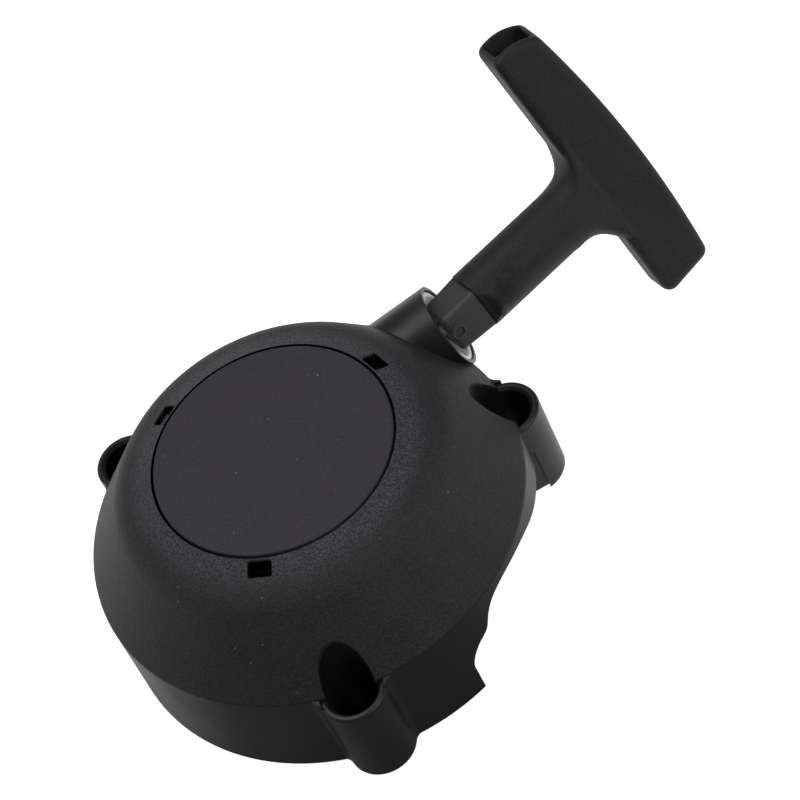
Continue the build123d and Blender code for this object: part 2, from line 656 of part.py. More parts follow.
def stem_scoops():
    """Two opposite flats in the stem's end, each running out on a slope."""
    cuts = []
    for side in (-1, 1):
        rim = [(side * (STEM_R + 2), SCOOP[-1][1]), (side * (STEM_R + 2), STEM_START - 1)]
        corners = [(side * SCOOP[0][0], STEM_START - 1)] + [(side * d, z) for d, z in SCOOP] + rim
        face = Plane.YZ * Polygon(*corners, align=None)
        cuts.append(Rot(0, 0, NOSE_ROLL) * extrude(face, amount=12, both=True))
    return cuts


def pull_handle():
    """Hollow T-grip on a hollow round stem."""
    body = lean_grip(grip_blank()) + rod(STEM_R, STEM_START, STEM_FLARE[0][0] + 0.2) + stem_flare()
    for cut in stem_scoops():
        body -= cut
    core_low = GRIP_LOW + GRIP_WALL
    core_high = GRIP_HIGH - GRIP_WALL + 0.6
    half = GRIP_T / 2 - GRIP_WALL
    core = block(-ARM_LONG - 8, ARM_SHORT + 8, -half, half, core_low, core_high)
    core = lean_grip(fillet(core.edges().filter_by(Axis.X), 1.6))
    body = body - core - rod(STEM_BORE, STEM_START - 1, core_high - 3)
    return on_stem(body)


PARTS = {
    "starter_housing": starter_housing,
    "centre_cap": centre_cap,
    "rope_eyelet": rope_eyelet,
    "starter_post": starter_post,
    "spring_case": spring_case,
    "case_cover": case_cover,
    "case_screws": case_screws,
    "recoil_spring": recoil_spring,
    "rope_rotor": rope_rotor,
    "rope_coil": rope_coil,
    "rotor_knot": rotor_knot,
    "pawl_a": pawl,
    "pawl_b": lambda: Rot(0, 0, 180) * pawl(),
    "pawl_clip": pawl_clip,
    "thrust_washer": thrust_washer,
    "retaining_clip": retaining_clip,
    "rope_lead": rope_lead,
    "rope_run": rope_run,
    "handle_knot": handle_knot,
    "spring_plunger": spring_plunger,
    "damper_spring": damper_spring,
    "handle_nose": handle_nose,
    "pull_handle": pull_handle,
}


if __name__ == "__main__":
    os.makedirs("parts", exist_ok=True)
    for name, make in PARTS.items():
        export_step(make(), f"parts/{name}.step")
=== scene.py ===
import json
import math

import bmesh
import bpy
from mathutils import Matrix, Vector


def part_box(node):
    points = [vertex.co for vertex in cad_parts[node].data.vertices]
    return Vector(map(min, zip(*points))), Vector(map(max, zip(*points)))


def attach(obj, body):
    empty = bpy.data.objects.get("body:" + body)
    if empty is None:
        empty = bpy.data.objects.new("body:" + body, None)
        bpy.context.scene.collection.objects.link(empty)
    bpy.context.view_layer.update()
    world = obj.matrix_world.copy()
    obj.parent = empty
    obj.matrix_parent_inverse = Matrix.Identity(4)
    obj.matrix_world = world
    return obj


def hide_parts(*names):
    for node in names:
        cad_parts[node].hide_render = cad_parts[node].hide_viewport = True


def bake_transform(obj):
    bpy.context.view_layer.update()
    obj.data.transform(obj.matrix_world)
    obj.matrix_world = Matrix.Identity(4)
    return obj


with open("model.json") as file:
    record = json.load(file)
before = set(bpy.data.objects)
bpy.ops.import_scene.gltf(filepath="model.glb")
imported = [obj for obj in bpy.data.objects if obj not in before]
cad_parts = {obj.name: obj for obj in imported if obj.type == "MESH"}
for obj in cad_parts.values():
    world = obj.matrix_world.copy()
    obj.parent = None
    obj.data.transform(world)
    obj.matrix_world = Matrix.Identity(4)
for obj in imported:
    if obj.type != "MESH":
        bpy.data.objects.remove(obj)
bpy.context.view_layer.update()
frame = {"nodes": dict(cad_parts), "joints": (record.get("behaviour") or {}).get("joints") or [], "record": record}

NODES = frame["nodes"]
MM = 0.001

# ------------------------------------------------------------------ places on the object, in millimetres

RIM_R = 66.0             # edge between the cone and the skirt
RIM_Z = 31.6
CONE_DEG = 56.6
CROWN_DEG = 25.0
CROWN_R = 36.7           # inner edge of the crown ring
CROWN_Z = 63.0
SHOULDER_SAG = 0.62      # how far the rounding between crown and cone lies inside both
SKIN_INNER = (-SHOULDER_SAG - 0.25, -SHOULDER_SAG - 0.1)   # the dome's outer face fades in and out here
SKIN_OUTER = (0.03, 0.12)
TEXTURE_Z = (RIM_Z + 0.1, RIM_Z + 0.5)
# The painted light on the crown ring fades out between these two radii.
CROWN_LIGHT_R = (40.5, 45.0)
# The walls of the snap windows get painted shade within these two limits.
WINDOW_SHADE_R = (42.3, 42.5)  # outer limit of the zone that holds the snap windows
WINDOW_SHADE_Z = (56.0, 57.0)
# Beyond this radius the cap's tongues sit in the snap windows and get painted shade.
CAP_SHADE_R = (36.75, 36.9)

UP = Vector((0, 0, 1))
OUTLET_END = Vector((59.5, 33.6, 41.2))
OUTLET_RISE = math.radians(16.3)
OUTLET_AXIS = Vector((math.cos(OUTLET_RISE), 0, math.sin(OUTLET_RISE)))
ROPE_PULL = next(j for j in frame["joints"] if j["name"] == "rope_pull")
STEM_AXIS = Vector(ROPE_PULL["axis"]).normalized()
GRIP_ROLL = math.radians(-90 - 29.3)
LEVEL = UP.cross(STEM_AXIS).normalized()
GRIP_AXIS = LEVEL * math.cos(GRIP_ROLL) + STEM_AXIS.cross(LEVEL) * math.sin(GRIP_ROLL)
ACROSS_AXIS = STEM_AXIS.cross(GRIP_AXIS)

ROPE_R = 1.8
ROPE_PITCH = 3.55
ROPE_Z = 34.3
COIL_OUTER_R = 33.7
COIL_LAYERS = 6
TURN_POINTS = 72         # points on one turn of the coil
COIL_GAP = 0.03          # keeps neighbouring layers from touching
LEAD_END_SHARE = 0.16    # where the lead meets the coil, in coil radii from the tangent point
BEND_REACH = 6.0         # the lead's bend starts and ends this far from its corner
THROAT = -13.0           # along the outlet, where the rope leaves the eyelet's hole
RUN_END = 50.2           # along the stem, end of the rope under the knot
SEAM_ASIDE = 6.3         # the grip's parting lines, either side of its middle
SEAM_HALF_WIDTH = 0.16
SEAM_FADE = (70.0, 72.0)     # along the stem
SMUDGE_FADE = (34.0, 20.0)   # along the stem, from clean to rubbed
STRETCH = (0.5, 6.0)     # along the stem, the span of rope that lengthens when the handle is pulled; here only its ends are worked out, and nothing stretches it


# ------------------------------------------------------------------ material nodes

class Nodes:
    """Short calls for one material's node tree. Lengths are in metres."""

    def __init__(self, name, edge=0.0003):
        self.material = bpy.data.materials.new(name)
        self.material.use_nodes = True
        self.tree = self.material.node_tree
        self.tree.nodes.clear()
        self.out = self.add("ShaderNodeOutputMaterial")
        self.shader = self.add("ShaderNodeBsdfPrincipled")
        self.join(self.shader.outputs[0], self.out.inputs["Surface"])
        coord = self.add("ShaderNodeTexCoord")
        self.coord = coord.outputs["Object"]
        self.uv = coord.outputs["UV"]
        self.edge_normal = None
        if edge:
            bevel = self.add("ShaderNodeBevel")
            bevel.samples = 6
            bevel.inputs["Radius"].default_value = edge
            self.edge_normal = bevel.outputs[0]

    def add(self, kind):
        return self.tree.nodes.new(kind)

    def join(self, source, target):
        self.tree.links.new(source, target)

    def feed(self, socket, value):
        if isinstance(value, bpy.types.NodeSocket):
            self.join(value, socket)
        elif value is not None:
            socket.default_value = value

    def math(self, operation, a, b=None, c=None, clamp=False):
        node = self.add("ShaderNodeMath")
        node.operation = operation
        node.use_clamp = clamp
        for socket, value in zip(node.inputs, (a, b, c)):
            self.feed(socket, value)
        return node.outputs[0]

    def noise(self, size, detail=2.0, rough=0.5, vector=None):
        """Noise whose blotches are about size across."""
        node = self.add("ShaderNodeTexNoise")
        self.feed(node.inputs["Vector"], vector or self.coord)
        node.inputs["Scale"].default_value = 1.0 / size
        node.inputs["Detail"].default_value = detail
        node.inputs["Roughness"].default_value = rough
        return node.outputs["Fac"]

    def cells(self, size):
        """Distance to the nearest of random points about size apart."""
        node = self.add("ShaderNodeTexVoronoi")
        self.feed(node.inputs["Vector"], self.coord)
        node.inputs["Scale"].default_value = 1.0 / size
        return node.outputs["Distance"]

    def spread(self, value, low, high, to_low=0.0, to_high=1.0):
        """Map low..high to to_low..to_high, held at both ends."""
        node = self.add("ShaderNodeMapRange")
        node.clamp = True
        for name, item in (("Value", value), ("From Min", low), ("From Max", high),
                           ("To Min", to_low), ("To Max", to_high)):
            self.feed(node.inputs[name], item)
        return node.outputs[0]

    def fade(self, value, span_mm, to_low=0.0, to_high=1.0):
        """Spread over a pair of lengths in millimetres."""
        return self.spread(value, span_mm[0] * MM, span_mm[1] * MM, to_low, to_high)

    def mix(self, share, a, b):
        node = self.add("ShaderNodeMix")
        node.data_type = "RGBA"
        self.feed(node.inputs["Factor"], share)
        self.feed(node.inputs["A"], a)
        self.feed(node.inputs["B"], b)
        return node.outputs["Result"]

    def blend(self, share, a, b):
        """A number between a and b."""
        return self.spread(share, 0.0, 1.0, a, b)

    def split(self, vector=None):
        node = self.add("ShaderNodeSeparateXYZ")
        self.feed(node.inputs[0], vector or self.coord)
        return node.outputs

    def from_axis(self):
        """Distance from the Z axis, and height."""
        x, y, z = self.split()
        square = self.math("ADD", self.math("MULTIPLY", x, x), self.math("MULTIPLY", y, y))
        return self.math("SQRT", square), z

    def stretch(self, scale):
        """Object coordinates stretched along the three axes."""
        node = self.add("ShaderNodeMapping")
        self.feed(node.inputs["Vector"], self.coord)
        node.inputs["Scale"].default_value = scale
        return node.outputs[0]

    def along(self, axis, origin=(0, 0, 0)):
        """Distance from origin along an axis."""
        node = self.add("ShaderNodeVectorMath")
        node.operation = "DOT_PRODUCT"
        self.feed(node.inputs[0], self.coord)
        node.inputs[1].default_value = axis
        start = Vector(origin).dot(Vector(axis))
        return self.math("SUBTRACT", node.outputs["Value"], start)

    def bump(self, height, distance, strength=1.0, normal=None):
        node = self.add("ShaderNodeBump")
        node.inputs["Distance"].default_value = distance
        self.feed(node.inputs["Strength"], strength)
        self.feed(node.inputs["Height"], height)
        normal = normal or self.edge_normal
        if normal is not None:
            self.join(normal, node.inputs["Normal"])
        return node.outputs[0]

    def hollow_shade(self, depth, low=0.25, high=0.55):
        """1 in narrow hollows about depth deep, 0 on open faces, from ambient occlusion; the mask for painted
        shade.
        """
        node = self.add("ShaderNodeAmbientOcclusion")
        node.samples = 8
        node.inputs["Distance"].default_value = depth
        return self.spread(node.outputs["AO"], low, high, 1.0, 0.0)

    def finish(self, color, roughness, normal=None, metallic=0.0, specular=0.5, sheen=0.0):
        self.feed(self.shader.inputs["Base Color"], color)
        self.feed(self.shader.inputs["Roughness"], roughness)
        self.shader.inputs["Metallic"].default_value = metallic
        self.shader.inputs["Sheen Weight"].default_value = sheen
        self.feed(self.shader.inputs["Specular IOR Level"], specular)
        normal = normal or self.edge_normal
        if normal is not None:
            self.join(normal, self.shader.inputs["Normal"])
        return self.material


def grey(value, tint=0.0):
    """A near-neutral colour; tint above 0 leans to violet."""
    return (value * (1 + 0.4 * tint), value, value * (1 + tint), 1.0)


def scratches(n, size=0.004):
    """Thin scuff marks, 1 on a mark and 0 elsewhere."""
    wander = n.noise(size, 4.0, 0.6)
    field = n.noise(size * 0.8, 1.0, vector=n.stretch((1.0, 3.0, 0.4)))
    line = n.math("ABSOLUTE", n.math("SUBTRACT", field, 0.5))
    thin = n.spread(line, 0.0, 0.006, 1.0, 0.0)
    return n.math("MULTIPLY", thin, n.spread(wander, 0.52, 0.62))


def dust(n):
    """Sparse pale specks, 1 on a speck and 0 elsewhere."""
    speck = n.spread(n.cells(0.0045), 0.040, 0.060, 1.0, 0.0)
    dusty = n.spread(n.noise(0.011, 3.0, 0.6), 0.50, 0.60, 0.0, 0.6)
    return n.math("MULTIPLY", speck, dusty)


# ------------------------------------------------------------------ materials

def housing_plastic():
    """Coarse spark-eroded texture on the dome with painted light on its crown ring; smooth satin on the skirt,
    bosses and outlet; painted shade in the snap windows.
    """
    n = Nodes("housing_plastic", 0.00035)
    radius, z = n.from_axis()

    def above(slope, r, h):
        """Height above a cone of that slope through radius r at height h."""
        a = math.radians(slope)
        out = n.math("MULTIPLY", n.math("SUBTRACT", radius, r * MM), math.sin(a))
        return n.math("MULTIPLY_ADD", n.math("SUBTRACT", z, h * MM), math.cos(a), out)

    outer = n.math("MAXIMUM", above(CONE_DEG, RIM_R, RIM_Z), above(CROWN_DEG, CROWN_R, CROWN_Z))
    skin = n.math("MULTIPLY", n.fade(outer, SKIN_INNER), n.fade(outer, SKIN_OUTER, 1.0, 0.0))
    textured = n.math("MULTIPLY", skin, n.fade(z, TEXTURE_Z))
    # Painted light: the upward-facing crown ring, where the grains are coloured far lighter than on the cone.
    crown_light = n.math("MULTIPLY", textured, n.fade(radius, CROWN_LIGHT_R, 1.0, 0.0))

    # Painted shade: the walls and hollows of the snap windows, near black and with little gloss.
    window_shade = n.math("MAXIMUM", n.math("SUBTRACT", 1.0, skin), n.hollow_shade(0.004, 0.50, 0.75))
    window_shade = n.math("MULTIPLY", window_shade, n.fade(radius, WINDOW_SHADE_R, 1.0, 0.0))
    window_shade = n.math("MULTIPLY", window_shade, n.fade(z, WINDOW_SHADE_Z))

    coarse = n.noise(0.00055, 3.0, 0.65)
    pits = n.cells(0.00050)
    cloud = n.noise(0.016, 3.0)
    fine = n.noise(0.00025, 1.0)
    spark = n.math("ADD", coarse, n.math("MULTIPLY", pits, 0.5))
    smooth_height = n.math("MULTIPLY", n.noise(0.0009, 2.0), 0.14)
    height = n.blend(textured, smooth_height, spark)

    dark = n.mix(n.spread(cloud, 0.35, 0.65), grey(0.0080, 0.12), grey(0.0115, 0.18))
    grains = n.spread(coarse, 0.42, 0.64)
    dark = n.mix(n.math("MULTIPLY", textured, grains), dark, grey(0.027, 0.2))
    # Painted light on the crown ring: its grains are coloured far lighter; the grain pattern itself is the real
    # texture.
    light = n.mix(grains, grey(0.014, 0.24), grey(0.080, 0.3))
    color = n.mix(n.math("MULTIPLY", crown_light, 0.9), dark, light)
    worn = scratches(n)
    color = n.mix(n.math("MULTIPLY", worn, 0.25), color, grey(0.05))
    color = n.mix(n.math("MULTIPLY", dust(n), textured), color, grey(0.30))
    # Painted shade: near black in the snap windows.
    color = n.mix(window_shade, color, grey(0.002))
    satin = n.spread(cloud, 0.35, 0.65, 0.30, 0.38)
    matte = n.spread(fine, 0.3, 0.7, 0.50, 0.62)
    rough = n.blend(textured, satin, matte)
    specular = n.math("MULTIPLY", n.blend(textured, 0.42, 0.38), n.blend(window_shade, 1.0, 0.12))
    return n.finish(color, rough, n.bump(height, 0.00020, 1.0), specular=specular)


def cap_plastic():
    """Fine matte disc with dust and hairline scuffs; its tongues in the snap windows are coloured near black and
    dull as painted shade.
    """
    n = Nodes("cap_plastic", 0.0004)
    radius, _ = n.from_axis()
    # Painted shade: the cap's tongues in the snap windows are coloured near black and lose their gloss.
    tongue_shade = n.fade(radius, CAP_SHADE_R)
    cloud = n.noise(0.014, 4.0, 0.6)
    fine = n.noise(0.00022, 2.0)
    mottle = n.noise(0.0007, 3.0, 0.65)
    color = n.mix(n.spread(cloud, 0.35, 0.65), grey(0.026, 0.26), grey(0.032, 0.3))
    color = n.mix(n.spread(mottle, 0.42, 0.62), color, grey(0.038, 0.3))
    color = n.mix(n.math("MULTIPLY", scratches(n, 0.006), 0.3), color, grey(0.08))
    color = n.mix(dust(n), color, grey(0.40))
    color = n.mix(tongue_shade, color, grey(0.002))
    rough = n.spread(cloud, 0.3, 0.7, 0.58, 0.68)
    return n.finish(color, rough, n.bump(fine, 0.00002, 0.5), specular=n.blend(tongue_shade, 0.34, 0.05))


def satin_black(name, base, rough):
    """Plain moulded plastic with soft clouds and light scuffs."""
    n = Nodes(name, 0.0003)
    cloud = n.noise(0.012, 4.0, 0.6)
    grain = n.noise(0.0006, 2.0)
    worn = scratches(n)
    color = n.mix(n.spread(cloud, 0.35, 0.65), grey(base * 0.9), grey(base * 1.2, 0.06))
    color = n.mix(n.math("MULTIPLY", worn, 0.3), color, grey(0.05))
    r = n.spread(cloud, 0.3, 0.7, rough - 0.04, rough + 0.06)
    r = n.math("ADD", r, n.math("MULTIPLY", worn, 0.15))
    return n.finish(color, r, n.bump(grain, 0.00002, 0.6), specular=0.42)


def handle_plastic():
    """Satin moulded grip: faint cloudy sheen, rubbed patches and one fine parting line; painted shade in its
    hollows.
    """
    n = Nodes("handle_plastic", 0.0005)
    cloud = n.noise(0.018, 4.0, 0.6)
    grain = n.noise(0.0005, 2.0)
    waves = n.noise(0.006, 2.0)
    worn = scratches(n)
    side = n.math("ABSOLUTE", n.along(ACROSS_AXIS, OUTLET_END * MM))
    off_seam = n.math("ABSOLUTE", n.math("SUBTRACT", side, SEAM_ASIDE * MM))
    up_stem = n.along(STEM_AXIS, OUTLET_END * MM)
    seam = n.math("MULTIPLY", n.fade(off_seam, (0.0, SEAM_HALF_WIDTH), 1.0, 0.0), n.fade(up_stem, SEAM_FADE))
    patches = n.spread(n.noise(0.009, 3.0, 0.6), 0.54, 0.62)
    smudge = n.math("MULTIPLY", patches, n.fade(up_stem, SMUDGE_FADE))
    color = n.mix(n.spread(cloud, 0.35, 0.65), grey(0.0105), grey(0.0150, 0.05))
    color = n.mix(n.spread(grain, 0.45, 0.7), color, grey(0.022, 0.05))
    color = n.mix(n.math("MULTIPLY", smudge, 0.6), color, grey(0.005))
    color = n.mix(n.math("MULTIPLY", worn, 0.35), color, grey(0.06))
    # Painted shade: near black and little gloss in the grip's hollows and open ends.
    hollow_shade = n.hollow_shade(0.009)
    color = n.mix(hollow_shade, color, grey(0.002))
    rough = n.spread(cloud, 0.3, 0.7, 0.50, 0.62)
    rough = n.math("ADD", rough, n.math("MULTIPLY", smudge, 0.12))
    height = n.math("ADD", n.math("MULTIPLY", grain, 0.35), n.math("MULTIPLY", waves, 0.5))
    height = n.math("SUBTRACT", height, n.math("MULTIPLY", seam, 1.6))
    return n.finish(color, rough, n.bump(height, 0.00005, 0.9), specular=n.blend(hollow_shade, 0.32, 0.05))


def steel(name, base=0.5, rough=0.35, tint=0.0, turned=False):
    """Bare metal with fine machining marks, rings about Z when turned."""
    n = Nodes(name, 0.00015)
    cloud = n.noise(0.006, 3.0)
    grain = (0.1, 0.1, 6.0) if turned else (3.0, 0.4, 1.0)
    marks = n.noise(0.0004, 2.0, vector=n.stretch(grain))
    stain = n.spread(n.noise(0.003, 4.0, 0.65), 0.56, 0.7)
    color = n.mix(n.spread(cloud, 0.3, 0.7), grey(base * 0.8, tint), grey(base * 1.1, tint))
    color = n.mix(n.math("MULTIPLY", stain, 0.4), color, (base * 0.5, base * 0.42, base * 0.34, 1))
    r = n.spread(marks, 0.3, 0.7, rough - 0.08, rough + 0.12)
    return n.finish(color, r, n.bump(marks, 0.000012, 0.6), metallic=1.0)


def nylon(name, color_a, color_b, rough, translucent=0.0):
    """Pale moulded nylon with faint flow marks."""
    n = Nodes(name, 0.0003)
    cloud = n.noise(0.008, 3.0)
    fibre = n.noise(0.0008, 2.0, vector=n.stretch((2.0, 0.5, 1.0)))
    grain = n.noise(0.0005, 2.0)
    color = n.mix(n.spread(cloud, 0.35, 0.65), color_a, color_b)
    shade = tuple(0.8 * c for c in color_b[:3]) + (1.0,)
    color = n.mix(n.spread(fibre, 0.55, 0.75, 0.0, 0.2), color, shade)
    if translucent:
        n.shader.inputs["Subsurface Weight"].default_value = translucent
        n.shader.inputs["Subsurface Radius"].default_value = (0.002, 0.002, 0.002)
        n.shader.inputs["Subsurface Scale"].default_value = 0.5
    r = n.spread(grain, 0.3, 0.7, rough - 0.06, rough + 0.06)
    return n.finish(color, r, n.bump(grain, 0.00002, 0.5))


STRANDS = 8              # strands each way round the rope
STRAND_ADVANCE = 0.0016  # metres along the rope from one crossing to the next


def braided_rope(name, round_share, along):
    """Two sets of strands passing over and under each other, coloured darker between the strands as painted shade;
    round_share is 0 to 1 round the rope.
    """
    def weave(n):
        turn = n.math("MULTIPLY", round_share(n), STRANDS)
        step = n.math("DIVIDE", along(n), STRAND_ADVANCE)
        right, left = n.math("ADD", turn, step), n.math("SUBTRACT", turn, step)
        crossing = n.math("ADD", n.math("FLOOR", right), n.math("FLOOR", left))
        over = n.math("PINGPONG", crossing, 1.0)
        bulges = []
        for strand in (right, left):
            wave = n.math("SINE", n.math("MULTIPLY", strand, math.pi))
            bulges.append(n.math("ABSOLUTE", wave))
        return n.blend(over, *bulges)

    n = Nodes(name, 0)
    height = weave(n)
    fuzz = n.noise(0.00018, 3.0, 0.7)
    dirt = n.noise(0.007, 3.0)
    # Painted shade: the colour darkens where the weave is low, between the strands.
    color = n.mix(n.spread(height, 0.1, 0.7), (0.22, 0.22, 0.21, 1), (0.66, 0.66, 0.64, 1))
    color = n.mix(n.spread(dirt, 0.5, 0.7, 0.0, 0.5), color, (0.25, 0.24, 0.22, 1))
    relief = n.math("ADD", height, n.math("MULTIPLY", fuzz, 0.35))
    return n.finish(color, n.spread(fuzz, 0.3, 0.7, 0.7, 0.9), n.bump(relief, 0.00022, 1.0), sheen=0.3)


def rope_by_uv(name):
    return braided_rope(name, lambda n: n.split(n.uv)[0], lambda n: n.split(n.uv)[1])


def rope_by_place(name, origin, axis, side):
    """The braid follows place along the axis, so it would keep its size if the rope's mesh were drawn out."""
    other = axis.cross(side)

    def round_share(n):
        angle = n.math("ARCTAN2", n.along(side, origin), n.along(other, origin))
        return n.math("DIVIDE", angle, 2 * math.pi)

    return braided_rope(name, round_share, lambda n: n.along(axis, origin))


ROPE_WOUND = rope_by_uv("rope_wound")
ROPE_PULLED = rope_by_place("rope_pulled", OUTLET_END * MM, STEM_AXIS, GRIP_AXIS)

SLOTS = {
    "housing_black": housing_plastic(),
    "cap_black": cap_plastic(),
    "nylon_white": nylon("white_nylon", (0.80, 0.83, 0.88, 1), (0.70, 0.74, 0.80, 1), 0.34, 0.3),
    "steel_post": steel("turned_steel", 0.55, 0.3, turned=True),
    "inner_black": satin_black("case_plastic", 0.014, 0.5),
    "inner_grey": satin_black("cover_plastic", 0.05, 0.5),
    "zinc_screw": steel("zinc_plate", 0.62, 0.3, 0.05),
    "spring_steel": steel("blued_strip", 0.2, 0.3, 0.3),
    "rotor_nylon": satin_black("pulley_nylon", 0.026, 0.45),
    "rope": ROPE_WOUND,
    "pawl_nylon": nylon("pawl_plastic", (0.5, 0.47, 0.4, 1), (0.42, 0.4, 0.35, 1), 0.45),
    "spring_wire": steel("drawn_wire", 0.5, 0.3),
    "steel_plate": steel("stamped_steel", 0.5, 0.38),
    "nose_black": satin_black("nose_plastic", 0.038, 0.42),
    "handle_black": handle_plastic(),
}


def dress_frame():
    for part in frame["record"]["subparts"]:
        node = NODES[part["node"]]
        node.data.materials.clear()
        node.data.materials.append(SLOTS[part["material_slot"]])


# ------------------------------------------------------------------ meshes

def new_piece(name, mesh, material, slot, *replaced):
    """An object of one material that stands in for the CAD nodes named last."""
    piece = bpy.data.objects.new(name, mesh)
    bpy.context.collection.objects.link(piece)
    mesh.materials.clear()
    mesh.materials.append(material)
    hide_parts(*replaced)
    return piece


def tube(name, path, radius, around=16, closed=False):
    """A round tube in millimetres along a list of points, with UVs: share round it, and metres along it."""
    count = len(path)
    tangents = []
    for i in range(count):
        before = path[(i - 1) % count] if closed or i else path[i]
        after = path[(i + 1) % count] if closed or i < count - 1 else path[i]
        tangents.append((after - before).normalized())
    side = tangents[0].orthogonal().normalized()
    rings = []
    lengths = [0.0]
    bm = bmesh.new()
    for i in range(count):
        side = (side - tangents[i] * side.dot(tangents[i])).normalized()
        other = tangents[i].cross(side)
        ring = []
        for k in range(around):
            a = 2 * math.pi * k / around
            ring.append(bm.verts.new((path[i] + (side * math.cos(a) + other * math.sin(a)) * radius) * MM))
        rings.append(ring)
        lengths.append(lengths[-1] + (path[(i + 1) % count] - path[i]).length * MM)
    layer = bm.loops.layers.uv.new("rope")
    for i in range(count if closed else count - 1):
        here, there = rings[i], rings[(i + 1) % count]
        for k in range(around):
            m = (k + 1) % around
            face = bm.faces.new((here[k], here[m], there[m], there[k]))
            face.smooth = True
            spots = ((k, i), (k + 1, i), (k + 1, i + 1), (k, i + 1))
            for loop, (u, v) in zip(face.loops, spots):
                loop[layer].uv = (u / around, lengths[v])
    if not closed:
        bm.faces.new(rings[0][::-1])
        bm.faces.new(rings[-1])
    mesh = bpy.data.meshes.new(name)
    bm.to_mesh(mesh)
    bm.free()
    return mesh


def bezier(a, b, c, d, count):
    """Points on a cubic curve from a to d, both included."""
    points = []
    for i in range(count):
        t = i / (count - 1)
        inner = b * 3 * t * (1 - t) ** 2 + c * 3 * t * t * (1 - t)
        points.append(a * (1 - t) ** 3 + inner + d * t ** 3)
    return points


def steps(a, b, gap):
    """Points from a up to, but not at, b."""
    count = max(1, round((b - a).length / gap))
    return [a.lerp(b, i / count) for i in range(count)]


def rope():
    """The rope from the wound coil, out of the eyelet and up the handle's stem."""
    throat = OUTLET_END + OUTLET_AXIS * THROAT
    level = OUTLET_END.x - (OUTLET_END.z - ROPE_Z) / math.tan(OUTLET_RISE)
    bend = Vector((level, OUTLET_END.y, ROPE_Z))
    start = Vector((COIL_OUTER_R * LEAD_END_SHARE, OUTLET_END.y, ROPE_Z))
    before = bend - Vector((BEND_REACH, 0, 0))
    after = bend + OUTLET_AXIS * BEND_REACH
    lead = steps(start, before, 0.8)
    lead += bezier(before, bend, bend, after, 12)
    lead += steps(after, throat, 0.8)[1:] + [throat]
    mesh = tube("rope_lead_braid", lead, ROPE_R)
    piece = new_piece("rope_lead_braid", mesh, ROPE_WOUND, "rope", "rope_lead")
    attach(piece, "housing")

    straight = OUTLET_END - STEM_AXIS * 0.5
    top = OUTLET_END + STEM_AXIS * RUN_END
    run = bezier(throat, throat + OUTLET_AXIS * 5, straight - STEM_AXIS * 5, straight, 14)
    run += steps(straight, top, 0.5)[1:] + [top]
    mesh = tube("rope_run_braid", run, ROPE_R, 24)
    piece = new_piece("rope_run_braid", mesh, ROPE_PULLED, "rope", "rope_run")
    start, end = [(OUTLET_END + STEM_AXIS * s) * MM for s in STRETCH]
    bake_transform(piece)


def wound_rope():
    """The rope on the pulley as one flat spiral, one strand wide."""
    path = []
    for i in range((COIL_LAYERS - 1) * TURN_POINTS + 1):
        a = 2 * math.pi * i / TURN_POINTS + math.pi / 2
        r = COIL_OUTER_R - ROPE_PITCH * i / TURN_POINTS
        path.append(Vector((r * math.cos(a), r * math.sin(a), ROPE_Z)))
    mesh = tube("rope_coil_braid", path, ROPE_R - COIL_GAP)
    piece = new_piece("rope_coil_braid", mesh, ROPE_WOUND, "rope", "rope_coil")
    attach(piece, "rotor")


KNOT_POINTS = 120
KNOT_RISE = 0.75         # how far the strand climbs over itself


def knot(name, node, body, centre, axis, ring_r, strand_r):
    """A tight overhand knot: a trefoil of rope round the axis."""
    side = axis.orthogonal().normalized()
    other = axis.cross(side)
    path = []
    for i in range(KNOT_POINTS):
        t = 2 * math.pi * i / KNOT_POINTS
        r = ring_r * (1 + 0.5 * math.cos(3 * t))
        outward = side * math.cos(2 * t) + other * math.sin(2 * t)
        path.append(centre + outward * r + axis * (KNOT_RISE * math.sin(3 * t)))
    piece = new_piece(name, tube(name, path, strand_r, 14, closed=True), ROPE_WOUND, "rope", node)
    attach(piece, body)


def middle(node):
    """Centre of a CAD node's box, in millimetres."""
    low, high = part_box(node)
    return (Vector(low) + Vector(high)) / (2 * MM)


WELD_GAP = 0.000002
GRIP_VOXEL = 0.00045
RELAX_SHARE = 0.5
RELAX_STEPS = 5


def smooth_handle():
    """The CAD handle with its lofted and filleted faces run together, as a moulded grip's are."""
    mesh = NODES["pull_handle"].data.copy()
    piece = new_piece("handle_grip", mesh, SLOTS["handle_black"], "handle_black", "pull_handle")
    weld = piece.modifiers.new("weld", "WELD")
    weld.merge_threshold = WELD_GAP
    remesh = piece.modifiers.new("remesh", "REMESH")
    remesh.mode = "VOXEL"
    remesh.voxel_size = GRIP_VOXEL
    remesh.use_smooth_shade = True
    relax = piece.modifiers.new("relax", "SMOOTH")
    relax.factor = RELAX_SHARE
    relax.iterations = RELAX_STEPS
    evaluated = piece.evaluated_get(bpy.context.evaluated_depsgraph_get())
    piece.data = bpy.data.meshes.new_from_object(evaluated)
    piece.modifiers.clear()
    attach(piece, "handle")


def damper_coil():
    """The CAD spring again, between the plunger and the nose."""
    mesh = NODES["damper_spring"].data.copy()
    piece = new_piece("damper_coil", mesh, SLOTS["spring_wire"], "spring_wire", "damper_spring")
    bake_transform(piece)


# ------------------------------------------------------------------ stage

